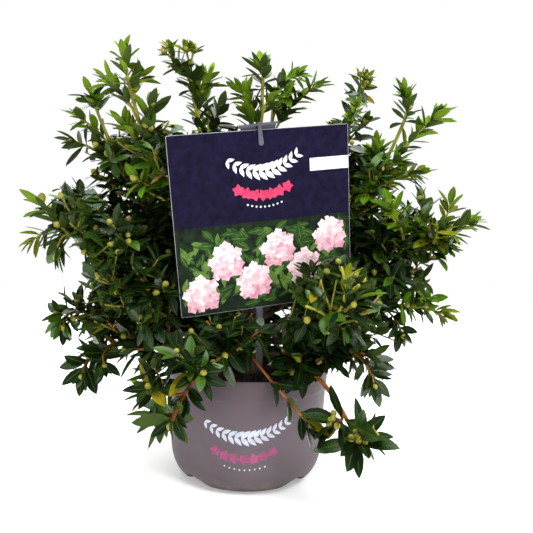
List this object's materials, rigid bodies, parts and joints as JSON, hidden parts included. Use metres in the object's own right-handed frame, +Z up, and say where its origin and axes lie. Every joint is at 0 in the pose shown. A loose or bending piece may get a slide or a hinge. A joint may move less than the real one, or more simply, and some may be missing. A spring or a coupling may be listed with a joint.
{
  "type": "potted rhododendron",
  "caption": "Dwarf small-leaved rhododendron, a dense evergreen shrub with round buds, in a rounded grey nursery pot with a blank plant label card on a plastic stick holder.",
  "frame": {"origin": "middle of the pot's flat underside, on the ground", "axes": "+Z up along the pot's axis, -Y towards the front where the label faces, +X to the right seen from the front"},
  "size_m": [0.5385, 0.4571, 0.5005],
  "materials": {
    "pot_plastic": "smooth moulded plastic, satin",
    "compost": "moist crumbly peat-free compost",
    "bark": "thin flaking bark, matt",
    "foliage": "small leathery leaves, semi-gloss above and matt below",
    "label_card": "printed card, satin",
    "holder_plastic": "moulded plastic, satin"
  },
  "bodies": {
    "root": {"pot": "pot_plastic", "soil": "compost", "main_stem": "bark", "label_card": "label_card", "label_holder": "holder_plastic", "bough_skirt_1": "bark", "leaves_skirt_1": "foliage", "bough_skirt_2": "bark", "leaves_skirt_2": "foliage", "bough_skirt_3": "bark", "leaves_skirt_3": "foliage", "bough_hanging_1": "bark", "leaves_hanging_1": "foliage", "bough_front_1": "bark", "leaves_front_1": "foliage", "bough_front_2": "bark", "leaves_front_2": "foliage", "bough_waist_1": "bark", "leaves_waist_1": "foliage", "bough_waist_2": "bark", "leaves_waist_2": "foliage", "bough_waist_3": "bark", "leaves_waist_3": "foliage", "bough_waist_4": "bark", "leaves_waist_4": "foliage", "bough_cheek_1": "bark", "leaves_cheek_1": "foliage", "bough_cheek_2": "bark", "leaves_cheek_2": "foliage", "bough_middle_1": "bark", "leaves_middle_1": "foliage", "bough_middle_2": "bark", "leaves_middle_2": "foliage", "bough_middle_3": "bark", "leaves_middle_3": "foliage", "bough_middle_4": "bark", "leaves_middle_4": "foliage", "bough_middle_5": "bark", "leaves_middle_5": "foliage", "bough_middle_6": "bark", "leaves_middle_6": "foliage", "bough_shoulder_1": "bark", "leaves_shoulder_1": "foliage", "bough_shoulder_2": "bark", "leaves_shoulder_2": "foliage", "bough_shoulder_3": "bark", "leaves_shoulder_3": "foliage", "bough_shoulder_4": "bark", "leaves_shoulder_4": "foliage", "bough_shoulder_5": "bark", "leaves_shoulder_5": "foliage", "bough_top_1": "bark", "leaves_top_1": "foliage", "bough_top_2": "bark", "leaves_top_2": "foliage", "bough_top_3": "bark", "leaves_top_3": "foliage", "bough_drape_1": "bark", "leaves_drape_1": "foliage"}
  },
  "joints": []
}
